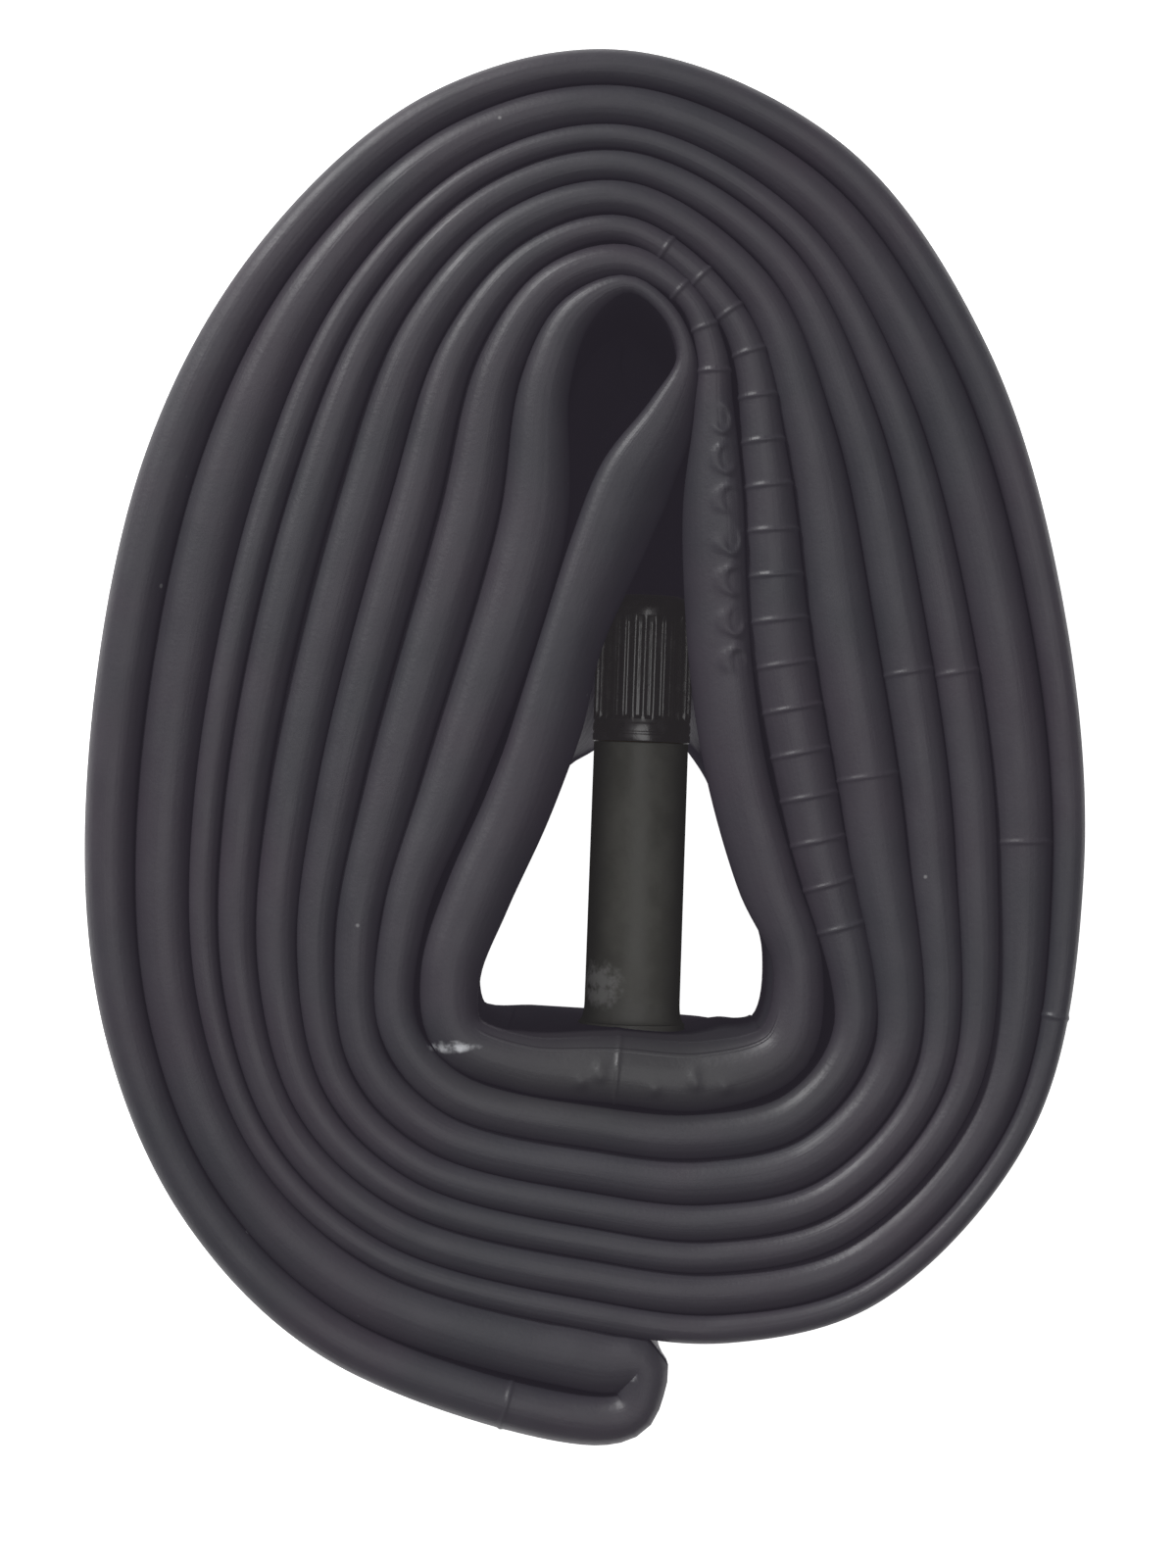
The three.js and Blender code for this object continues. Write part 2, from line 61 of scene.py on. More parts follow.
# Sixteen spokes, anticlockwise from the top of the roll: where the first strand's innermost lap
# begins, and the outer edge of the roll.
SPOKES = [
    ((3.3, 39.9), (3.3, 61.7)),
    ((-0.3, 38.3), (-13.1, 58.2)),
    ((-1.8, 32.8), (-27.7, 45.5)),
    ((-2.0, 21.3), (-37.7, 27.0)),
    ((-8.7, 0.8), (-42.4, -2.0)),
    ((-13.3, -10.0), (-40.5, -22.0)),
    ((-14.6, -19.0), (-33.5, -37.5)),
    ((-10.8, -24.3), (-21.5, -48.8)),
    ((0.8, -27.1), (0.8, -55.8)),
    ((9.0, -27.8), (12.0, -47.0)),
    ((16.7, -26.0), (24.5, -43.6)),
    ((20.7, -19.9), (37.5, -29.0)),
    ((16.6, -3.4), (41.7, -8.0)),
    ((13.6, 12.0), (40.0, 15.0)),
    ((13.1, 26.0), (33.5, 37.0)),
    ((11.7, 37.5), (21.5, 53.8)),
]
LAPS = 3.5
TAIL_SPOKE = len(SPOKES) // 2
TAIL_REACH = 2  # spokes from the tail's end back to where it leaves the roll

# Each strand's thickness at every quarter turn from the hook.
FIRST_THICKNESS = [2.7, 5.5, 3.6, 5.3, 2.4, 3.9, 2.9, 4.2, 2.6, 3.6, 3.4, 4.8, 3.4, 5.0, 5.4]
SECOND_THICKNESS = [2.9, 4.8, 3.7, 5.4, 2.9, 4.1, 2.7, 3.7, 2.1, 2.5, 2.5, 2.7, 3.0, 4.3, 4.4]

# The innermost loop: x, y, thickness, and how far its side towards the valve bulges beyond that
# thickness at the upper and at the lower edge.
HOOK = [
    (3.3, 42.0, 1.5, 0.0, 0.0),
    (6.7, 39.7, 1.4, 0.0, 0.0),
    (8.2, 36.0, 1.5, 0.2, 0.5),
    (6.2, 31.6, 2.4, 2.0, 3.0),
    (2.6, 26.4, 3.2, 3.4, 4.8),
    (0.2, 20.3, 3.4, 3.0, 5.8),
    (-2.4, 12.5, 3.2, 2.2, 5.4),
    (-4.3, 5.8, 3.6, 2.3, 4.4),
    (-5.3, 2.4, 3.8, 2.0, 1.4),
    (-6.8, -2.3, 4.5, 1.3, 0.3),
]
VALVE_SEAT = [
    (-9.8, -9.5, 4.9, 0.8, 0.1),
    (-11.8, -16.0, 4.8, 0.4, -0.9),
    (-11.0, -21.2, 4.6, 0.2, -1.5),
    (-5.5, -23.8, 4.2, 0.6, 0.5),
    (2.0, -24.6, 4.6, 1.1, 0.6),
    (10.0, -25.1, 4.8, 1.1, 0.5),
    (16.6, -22.4, 4.6, 0.5, -2.0),
    (17.7, -15.5, 4.2, 0.0, -1.9),
]
RISER = [
    (15.6, -8.0, 4.0, 1.1, -0.3),
    (13.4, 0.5, 3.7, 1.5, 0.1),
    (12.2, 8.0, 3.7, 1.6, 3.6),
    (11.7, 16.0, 3.4, 1.9, 5.4),
    (11.3, 24.0, 3.6, 1.5, 4.6),
    (10.6, 31.5, 3.4, 0.0, 2.0),
    (10.4, 36.2, 2.6, 0.0, 0.0),
    (8.6, 40.6, 2.1, 0.0, 0.0),
]
FOLD = [(4.2, -52.7, 3.2, 0.9, 1.4), (4.7, -48.9, 3.4, 0.9, 1.4)]


def smoothstep(t):
    t = np.clip(t, 0.0, 1.0)
    return t * t * (3 - 2 * t)


def at_turn(values, turns):
    """The value of a per-quarter-turn list, eased between its entries."""
    quarter = turns * 4
    index = min(int(quarter), len(values) - 2)
    return values[index] + (values[index + 1] - values[index]) * smoothstep(quarter - index)


def layers_on(spoke):
    """The layers that one spoke crosses, as fractions of its length."""
    laps = math.ceil(LAPS) if spoke <= TAIL_SPOKE else math.floor(LAPS)
    edges = [0.0]
    for lap in range(laps):
        turns = lap + spoke / len(SPOKES)
        edges.append(edges[-1] + at_turn(FIRST_THICKNESS, turns))
        edges.append(edges[-1] + at_turn(SECOND_THICKNESS, turns))
    return [edge / edges[-1] for edge in edges]


def strand(order):
    """One strand from the hook out to the tail, in rows like the innermost loop's."""
    points = []
    for step in range(int(LAPS * len(SPOKES)) + 1):
        number = step % len(SPOKES)
        layer = 2 * (step // len(SPOKES)) + order
        edges = layers_on(number)
        inner, outer = (np.array(end) for end in SPOKES[number])
        middle = inner + (outer - inner) * (edges[layer] + edges[layer + 1]) / 2
        thickness = (edges[layer + 1] - edges[layer]) * np.linalg.norm(outer - inner)
        points.append([*middle, thickness, 0.0, 0.0])
    return squared(np.array(points))


def squared(points):
    """A spoke meets a lap at a slant, so the strand is thinner across than along the spoke."""
    last = len(points) - 1
    for i in range(len(points)):
        along = points[min(i + 1, last)][:2] - points[max(i - 1, 0)][:2]
        inner, outer = (np.array(end) for end in SPOKES[i % len(SPOKES)])
        spoke = (outer - inner) / np.linalg.norm(outer - inner)
        along = along / np.linalg.norm(along)
        points[i, 2] *= abs(along[0] * spoke[1] - along[1] * spoke[0])
    return points


def closed_curve(points, per_span):
    """A centripetal Catmull-Rom curve through points, closed, on all columns at once."""
    count = len(points)
    made = []
    for i in range(count):
        p0, p1, p2, p3 = (points[(i + k) % count] for k in (-1, 0, 1, 2))
        d0, d1, d2 = (
            max(np.linalg.norm(b - a), 1e-4) ** 0.5
            for a, b in ((p0, p1), (p1, p2), (p2, p3))
        )
        t1 = ((p1 - p0) / d0 - (p2 - p0) / (d0 + d1) + (p2 - p1) / d1) * d1
        t2 = ((p2 - p1) / d1 - (p3 - p1) / (d1 + d2) + (p3 - p2) / d2) * d1
        for k in range(per_span):
            t = k / per_span
            cubic = 2 * p1 - 2 * p2 + t1 + t2
            square = -3 * p1 + 3 * p2 - 2 * t1 - t2
            made.append(p1 + t1 * t + square * t * t + cubic * t ** 3)
    return np.array(made)


class Route:
    """The whole closed route, with its arc length in millimetres from the tail's fold."""

    PER_SPAN = 24

    def __init__(self):
        first = strand(0)[:0:-1]
        second = strand(1)
        core = np.array(HOOK + VALVE_SEAT + RISER)
        points = np.vstack([first, core, second, np.array(FOLD)])
        curve = closed_curve(points, self.PER_SPAN)
        steps = np.linalg.norm(np.diff(curve[:, :2], axis=0, append=curve[:1, :2]), axis=1)
        self.distance = np.concatenate([[0.0], np.cumsum(steps)])
        self.rows = np.vstack([curve, curve[:1]])
        self.length = self.distance[-1]
        self.hook = self.at_point(len(first))
        seat = len(first) + len(HOOK)
        self.seat_points = [self.at_point(seat + k) for k in range(len(VALVE_SEAT) + 1)]
        self.cut_first = self.at_point(TAIL_REACH)
        self.cut_second = self.at_point(len(points) - len(FOLD) - 1 - TAIL_REACH)

    def at_point(self, index):
        """The arc length at one of the route's own points, which may be a fraction."""
        return np.interp(index * self.PER_SPAN, np.arange(len(self.distance)), self.distance)

    def at(self, lengths):
        """The route's rows and the unit vector to the left at these arc lengths."""
        lengths = np.asarray(lengths, float)
        rows = self._rows(lengths)
        ahead = self._rows(lengths + 0.25)[:, :2] - self._rows(lengths - 0.25)[:, :2]
        ahead = ahead / np.linalg.norm(ahead, axis=1)[:, None]
        return rows, np.column_stack([-ahead[:, 1], ahead[:, 0]])

    def _rows(self, lengths):
        wrapped = np.mod(lengths, self.length)
        columns = [np.interp(wrapped, self.distance, column) for column in self.rows.T]
        return np.column_stack(columns)


ROUTE = Route()

# ---------- The tube's skin ----------

RING_SPACING = 0.9  # between the rings of points along the tube
CROWN_POINTS = 25  # over each folded edge
WALL_POINTS = 11  # down each flat wall
WAIST = 0.45  # how far the flat walls draw in between the fuller folded edges
WAIST_SHARE = 0.2  # the most that a wall draws in, as a share of half the tube's thickness
WAIST_START = 2.0  # in from a folded edge
WAIST_REACH = 9.0
CROWN_ROUND = 0.85  # the height of a folded edge's rounding, as a share of half its thickness
CROWN_LIMIT = 4.5  # the most height that a rounding takes
LEAST_HALF = 0.3  # the least half thickness
BULGE_START = 3.0  # a bulge is full this far in from an edge
BULGE_DEPTH = 13.0  # and then fades over this
SETTLE = 0.7  # how far some laps have slipped below the highest
SETTLE_WAVES = [(0.28, 31.0, 0.0), (0.22, 12.3, 1.0)]  # share, length per radian, phase

# Where the right-hand side bulges: the middle of the stretch, half its length, and how far at the
# upper and at the lower edge.
RIGHT_BULGES = [
    (ROUTE.hook + 11, 24, 0.0, 5.0),  # into the hook's eye
    (ROUTE.hook - 22, 26, 0.2, 4.4),  # into the hook's eye from its other side
    (ROUTE.length - 1, 6, 0.35, 0.35),  # the corner of the tail
]

RIB_WIDTH = 0.38
RIB_HEIGHT = 0.13
RIB_PITCH = 3.78
VENT_RIBS = [  # start along the route, count: fine moulded ribs across the tube
    (641.4, 17),
    (981.0, 3),
]
RIB_SPREAD = 0.45  # the rings that draw a rib lie this far to each side of its middle
RIB_RINGS = 9
FLASH_SHARE = 0.8  # a mould line's height, as a share of a rib's
FLASH_LINES = [221.5, 462.6, 908.0, 1144.8, 1389.5, 1633.3, 1880.2]  # single raised mould lines
MARK_PITCH = 3.4
MARK_START = 956.5  # along the route
MARKS = [0.3, 2.6, 1.4, 3.4, 0.8, 2.0, 4.2]  # plain open loops: which way each one opens
MARK_HEIGHT = 0.24
MARK_LENGTH = 1.15  # from a loop's middle to its line, along the tube
MARK_SIDE = -0.33  # its middle across the crown, as a share of the half width
MARK_BREADTH = 0.46  # half its breadth, as the same share
MARK_LINE = 0.24  # the line's width, as a share of the loop's radius
MARK_CLOSURE = 1.6  # how far round the loop's line runs before it fades
MARK_MARGIN = 2.0  # the fine rings run this far past the marks and bumps
MARK_RINGS = 0.2  # between the fine rings
LEAST_RINGS = 0.08  # between any two rings
SEAT_BUMPS = [905.0, 906.6, 911.2, 914.6, 917.0]  # small moulded bumps on the valve seat
BUMP_LENGTH = 0.6
BUMP_BREADTH = 0.24
BUMP_SIDES = (-0.25, 0.05)  # they lie by turns at these shares of the half width


def ring_profile():
    """One ring of the skin: the side (-1 to 1), how round the crown is there, and the depth."""
    turn = np.linspace(-math.pi / 2, math.pi / 2, CROWN_POINTS)
    down = np.linspace(0, 1, WALL_POINTS + 2)[1:-1]
    top = [(math.sin(a), math.cos(a), 0.0) for a in turn]
    inner_wall = [(1.0, 0.0, d) for d in down]
    bottom = [(math.sin(a), math.cos(a), 1.0) for a in turn[::-1]]
    outer_wall = [(-1.0, 0.0, d) for d in down[::-1]]
    return np.array(top + inner_wall + bottom + outer_wall)


PROFILE = ring_profile()


def settle(lengths):
    """How far each stretch of the tube has slipped down from the top of the roll."""
    wave = 0.5
    for share, length, phase in SETTLE_WAVES:
        wave = wave + share * np.sin(lengths / length + phase)
    return SETTLE * wave


def bulges(lengths, rows, z):
    """How far the left and the right side bulge at these arc lengths, at heights z."""
    near_top = 1 - smoothstep((FLAT_WIDTH - z - BULGE_START) / BULGE_DEPTH)
    near_foot = 1 - smoothstep((z - BULGE_START) / BULGE_DEPTH)
    left = rows[:, 3:4] * near_top + rows[:, 4:5] * near_foot
    right = np.zeros(z.shape)
    for middle, reach, upper, lower in RIGHT_BULGES:
        away = np.abs((lengths - middle + ROUTE.length / 2) % ROUTE.length - ROUTE.length / 2)
        here = 1 - smoothstep(2 * away / reach - 1)
        right += here[:, None] * (upper * near_top + lower * near_foot)
    return left, right


def rib_lines():
    """Every moulded rib and mould line: where it lies along the route, and its height."""
    ribs = [start + RIB_PITCH * k for start, count in VENT_RIBS for k in range(count)]
    lines = [(rib, RIB_HEIGHT) for rib in ribs]
    return lines + [(line, RIB_HEIGHT * FLASH_SHARE) for line in FLASH_LINES]


def rib_height(lengths):
    """The height of the ribs and mould lines at these arc lengths."""
    height = np.zeros(len(lengths))
    for line, tall in rib_lines():
        height = np.maximum(height, tall * np.exp(-(((lengths - line) / (RIB_WIDTH / 2)) ** 2)))
    return height


def ring_lengths(start, end):
    """Where the rings lie: evenly, and closer together on ribs and marks."""
    count = max(2, int((end - start) / RING_SPACING))
    lengths = list(np.linspace(start, end, count))
    offsets = np.linspace(-RIB_SPREAD, RIB_SPREAD, RIB_RINGS)
    for line, _ in rib_lines():
        lengths += [line + offset for offset in offsets]
    marks_end = MARK_START + MARK_PITCH * len(MARKS)
    lengths += list(np.arange(MARK_START - MARK_MARGIN, marks_end, MARK_RINGS))
    bumps_start = SEAT_BUMPS[0] - MARK_MARGIN
    bumps_end = SEAT_BUMPS[-1] + MARK_MARGIN
    lengths += list(np.arange(bumps_start, bumps_end, MARK_RINGS))
    inside = sorted(length for length in lengths if start < length < end)
    kept = [start]
    for length in inside:
        if length - kept[-1] > LEAST_RINGS:
            kept.append(length)
    return np.array(kept + [end])


def skin_points(lengths):
    """The skin's points in metres, as an array of ring by point by xyz."""
    rows, left_of_travel = ROUTE.at(lengths)
    half = (rows[:, 2:3] - CLOSE_FIT) / 2
    side, crown, depth = PROFILE.T
    top = FLAT_WIDTH - settle(lengths)[:, None]
    upper_left, upper_right = bulges(lengths, rows, top)
    broad = half + np.where(side > 0, upper_left, upper_right)
    rise = np.minimum(CROWN_ROUND * broad, CROWN_LIMIT)
    straight = np.minimum(CROWN_ROUND * half, CROWN_LIMIT)
    on_top = (depth == 0) & (np.arange(len(depth)) < CROWN_POINTS)
    on_bottom = depth == 1.0
    upper = top - rise * (1 - crown)
    lower = straight * (1 - crown)
    wall = (top - rise) * (1 - depth) + straight * depth
    z = np.where(on_top, upper, np.where(on_bottom, lower, wall))
    left, right = bulges(lengths, rows, z)
    from_edge = np.minimum(top - z, z)
    waist = np.minimum(WAIST, WAIST_SHARE * half)
    waist = waist * smoothstep((from_edge - WAIST_START) / WAIST_REACH)
    reach = np.maximum(half + np.where(side > 0, left, right), LEAST_HALF) - waist
    ribs = rib_height(lengths)[:, None]
    offset = side * (reach + ribs * np.abs(side))
    z = z + np.where(on_top, ribs * crown, 0.0)
    middle = rows[:, :2] + DRAWING_SHIFT
    xy = middle[:, None, :] + left_of_travel[:, None, :] * offset[:, :, None]
    return np.dstack([xy, z]) * MM


def raise_marks(points, lengths):
    """Adds the plain raised marks beside the valve cap, and the small bumps on the valve seat."""
    off_crown = 9.0  # far outside every mark
    on_crown = np.where(PROFILE[:, 2] == 0, PROFILE[:, 0], off_crown)[None, :]
    along = lengths[:, None]
    for k, opening in enumerate(MARKS):
        onward = (along - MARK_START - MARK_PITCH * k) / MARK_LENGTH
        outward = (on_crown - MARK_SIDE) / MARK_BREADTH
        loop = np.exp(-(((np.hypot(onward, outward) - 1) / MARK_LINE) ** 2))
        open_side = 0.5 + 0.5 * np.cos(np.arctan2(outward, onward) - opening)
        points[:, :, 2] += MARK_HEIGHT * MM * loop * smoothstep(MARK_CLOSURE * open_side)
    for k, middle in enumerate(SEAT_BUMPS):
        side = on_crown - BUMP_SIDES[k % 2]
        dome = np.exp(-(((along - middle) / BUMP_LENGTH) ** 2) - (side / BUMP_BREADTH) ** 2)
        points[:, :, 2] += MARK_HEIGHT * MM * dome
    return points


def sweep(name, points, lengths):
    """A closed skin from rings of points, with its length and girth as a UV map in millimetres."""
    rings, size = points.shape[:2]
    vertices = points.reshape(-1, 3)
    faces = []
    for ring in range(rings - 1):
        for k in range(size):
            a = ring * size + k
            b = ring * size + (k + 1) % size
            faces.append((a, a + size, b + size, b))
    mesh = bpy.data.meshes.new(name)
    mesh.from_pydata(vertices.tolist(), [], faces)
    girth = np.concatenate([[0.0], np.cumsum(np.linalg.norm(np.diff(points[0], axis=0), axis=1))])
    uv = mesh.uv_layers.new(name="along")
    corners = np.zeros(len(mesh.loops), int)
    mesh.loops.foreach_get("vertex_index", corners)
    values = np.column_stack([lengths[corners // size], girth[corners % size] / MM])
    uv.data.foreach_set("uv", values.ravel())
    mesh.shade_smooth()
    return link(name, mesh)


def link(name, mesh):
    piece = bpy.data.objects.new(name, mesh)
    bpy.context.scene.collection.objects.link(piece)
    return piece


def roll_skin():
    lengths = ring_lengths(ROUTE.cut_first, ROUTE.cut_second)
    points = raise_marks(skin_points(lengths), lengths)
    piece = sweep("rolled_tube", points, lengths)
    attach(piece, "roll")
    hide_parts("tube_roll")
    return piece


def tail_skin():
    """The free end: both strands from where they leave the roll, and the fold that joins them."""
    lengths = ring_lengths(ROUTE.cut_second, ROUTE.length + ROUTE.cut_first)
    piece = sweep("folded_tail", skin_points(lengths), lengths)
    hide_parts("tube_tail")
    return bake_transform(piece)


# ---------- The valve ----------

STEM_BASE = (3.95, -20.6)  # where the stem leaves the tube, in the drawing
STEM_LEAN = -2.0  # degrees
STEM_RADIUS = 4.3
STEM_LENGTH = 24.0
COVER_BORE = 3.3
COVER_FOOT = -2.6
FILLET_REACH = 0.5  # how far the stem's foot spreads
FILLET_START = -0.9
FILLET_HEIGHT = 1.8
BARREL_START = 4.0
BARREL_TAPER = 0.002
PATCH_THICKNESS = 1.0
PATCH_EDGE = 0.16  # the step at the patch's edge
PATCH_MARGIN = 4.0  # from the patch's long edges to the tube's folded edges
PATCH_POINTS = (2.6, 6.0)  # the stretch of the valve seat that it covers, in route points
PATCH_RINGS = 70
PATCH_OVERLAP = 6  # points of the crowns that it takes in beyond the wall
PATCH_SIDE_TAPER = 9.0
PATCH_END_TAPER = 5.0
PATCH_TUCK = 0.25  # how deep the skin outside its outline lies in the tube

CAP_RADIUS = 4.4
CAP_FOOT = STEM_LENGTH + 0.4
CAP_TOP = CAP_FOOT + 13.2
CAP_SKIRT = 1.5
CAP_BORE = 3.85
CAP_CEILING = CAP_TOP - 1.3
CAP_RIBS = 28
RIB_DEPTH = 0.38
RIB_FOOT = CAP_FOOT + 2.0
RIB_TOP = CAP_TOP - 1.9
RIB_INSET = 0.2  # the ribs stand on the part of the cap within this of its full radius
RIB_FOOT_EASE = 0.25
RIB_TOP_EASE = 0.5
GROOVE_START = 0.15
GROOVE_EASE = 0.45


def stem_matrix():
    base = (np.array(STEM_BASE) + DRAWING_SHIFT) * MM
    lean = Matrix.Rotation(math.radians(STEM_LEAN), 4, "Z")
    return Matrix.Translation((*base, FLAT_WIDTH / 2 * MM)) @ lean


ON_AXIS = 0.01  # a profile that starts nearer the axis than this is closed there


def turned(name, profile, segments, radius_of=None):
    """A solid turned about the stem's axis. The profile is (radius, distance along the stem)."""
    vertices = []
    for radius, along in profile:
        for k in range(segments):
            angle = 2 * math.pi * k / segments
            r = radius_of(radius, along, angle) if radius_of else radius
            vertices.append((r * math.cos(angle) * MM, along * MM, r * math.sin(angle) * MM))
    faces = []
    rows = len(profile)
    for row in range(rows):
        if row == rows - 1 and profile[0][0] < ON_AXIS:
            break
        here = row * segments
        there = ((row + 1) % rows) * segments
        for k in range(segments):
            after = (k + 1) % segments
            faces.append((here + k, there + k, there + after, here + after))
    mesh = bpy.data.meshes.new(name)
    mesh.from_pydata(vertices, [], faces)
    mesh.transform(stem_matrix())
    mesh.shade_smooth()
    mesh.set_sharp_from_angle(angle=math.radians(40))
    return link(name, mesh)


def arc(centre, radius, start, end, steps):
    """Points of a rounded corner in a turned profile, with angles in degrees from the radius."""
    angles = np.radians(np.linspace(start, end, steps))
    return [(centre[0] + radius * math.cos(a), centre[1] + radius * math.sin(a)) for a in angles]


def stem_cover():
    """The rubber of the stem, spreading onto the patch at its foot."""
    foot = [(COVER_BORE, COVER_FOOT), (STEM_RADIUS + FILLET_REACH, COVER_FOOT)]
    fillet = [
        (
            STEM_RADIUS + FILLET_REACH * (1 - math.sin(a)),
            FILLET_START + FILLET_HEIGHT * (1 - math.cos(a)),
        )
        for a in np.linspace(0, math.pi / 2, 9)
    ]
    heights = np.linspace(BARREL_START, STEM_LENGTH - 1.4, 7)
    barrel = [(STEM_RADIUS - BARREL_TAPER * y, y) for y in heights]
    rim = arc((STEM_RADIUS - 0.2, STEM_LENGTH + 0.21), 0.15, 0, 90, 5)
    end = [(COVER_BORE, STEM_LENGTH + 0.36)]
    piece = turned("stem_rubber", foot + fillet + barrel + rim + end, 96)
    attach(piece, "roll")
    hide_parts("stem_cover")
    return piece


def cap_radius(radius, along, angle):
    """The cap's radius round its ribs, which run out towards the skirt and the dome."""
    if radius < CAP_RADIUS - RIB_INSET or not RIB_FOOT < along < RIB_TOP:
        return radius
    foot = smoothstep((along - RIB_FOOT) / RIB_FOOT_EASE)
    top = smoothstep((RIB_TOP - along) / RIB_TOP_EASE)
    groove = 0.5 - 0.5 * math.cos(CAP_RIBS * angle)
    depth = smoothstep((groove - GROOVE_START) / GROOVE_EASE)
    return radius - RIB_DEPTH * float(foot * top) * float(depth)


def dust_cap():
    inside = [(0.001, CAP_CEILING), (CAP_BORE - 0.3, CAP_CEILING), (CAP_BORE, CAP_CEILING - 0.3)]
    inside += [(CAP_BORE, CAP_FOOT + 0.3), (CAP_BORE + 0.15, CAP_FOOT)]
    skirt = arc((CAP_RADIUS - 0.12, CAP_FOOT + 0.12), 0.12, -90, 0, 4)
    skirt += [(CAP_RADIUS, CAP_FOOT + 0.62), (CAP_RADIUS - 0.07, CAP_FOOT + 0.7)]
    skirt += [(CAP_RADIUS - 0.07, CAP_FOOT + 0.86), (CAP_RADIUS, CAP_FOOT + 0.94)]
    skirt += [(CAP_RADIUS, CAP_FOOT + CAP_SKIRT), (CAP_RADIUS - 0.1, RIB_FOOT - 0.3)]
    ribs = [(CAP_RADIUS - 0.02, y) for y in np.linspace(RIB_FOOT, RIB_TOP, 26)]
    dome = arc((CAP_RADIUS - 1.75, CAP_TOP - 1.7), 1.7, 4, 90, 11)
    crown = [(1.2, CAP_TOP), (0.9, CAP_TOP - 0.06), (0.001, CAP_TOP - 0.05)]
    piece = turned("dust_cap", inside + skirt + ribs + dome + crown, CAP_RIBS * 12, cap_radius)
    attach(piece, "cap")
    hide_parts("valve_cap")
    return piece


def patch():
    """The reinforcing patch: a sheet on the tube's wall under the stem, thin at its edges."""
    numbers = range(len(ROUTE.seat_points))
    start, end = (np.interp(p, numbers, ROUTE.seat_points) for p in PATCH_POINTS)
    lengths = np.linspace(start, end, PATCH_RINGS)
    rings = skin_points(lengths)
    wall = rings[:, CROWN_POINTS - PATCH_OVERLAP : CROWN_POINTS + WALL_POINTS + PATCH_OVERLAP]
    heights = wall[:, :, 2] / MM
    edge = np.minimum(heights - PATCH_MARGIN, FLAT_WIDTH - PATCH_MARGIN - heights)
    ends = np.minimum(lengths - start, end - lengths)[:, None]
    inset = np.minimum(edge / PATCH_SIDE_TAPER, ends / PATCH_END_TAPER)
    inside = np.minimum(edge, ends) > 0
    proud = np.where(inside, PATCH_EDGE + PATCH_THICKNESS * smoothstep(inset), -PATCH_TUCK)
    _, across = ROUTE.at(lengths)
    points = wall.copy()
    points[:, :, :2] += across[:, None, :] * proud[:, :, None] * MM
    rows, columns = points.shape[:2]
    faces = [
        (i * columns + j, i * columns + j + 1, (i + 1) * columns + j + 1, (i + 1) * columns + j)
        for i in range(rows - 1)
        for j in range(columns - 1)
    ]
    mesh = bpy.data.meshes.new("valve_patch_skin")
    mesh.from_pydata(points.reshape(-1, 3).tolist(), [], faces)
    mesh.shade_smooth()
    piece = link("valve_patch_skin", mesh)
    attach(piece, "roll")
    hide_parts("valve_patch")
    return piece


# ---------- Materials ----------


def in_frame(x, y, z):
    """A point of the drawing, in metres in the model's frame."""
    return ((x + DRAWING_SHIFT[0]) * MM, (y + DRAWING_SHIFT[1]) * MM, z * MM)


PATCH_LINE = 4.7  # where the patch's edge shows through, round the tube's girth
SIDE_SEAMS = (24.7, 69.0)  # the mould's parting lines, round the tube's girth
OUTER_WALL = (49.0, 52.0)  # where the outer wall begins, round the tube's girth
LAST_LAP = (380.0, 320.0)  # where the last lap begins, back from the end of the route
HAZE = 0.016
SEAT_MIDDLE = in_frame(3.5, -24.4, 40.0)
STEM_FOOT = in_frame(3.4, -20.2, 25.0)
RESIDUE_STEM = in_frame(1.2, -18.0, 25.0)
RESIDUE_CORNER = in_frame(-11.3, -22.0, 43.0)


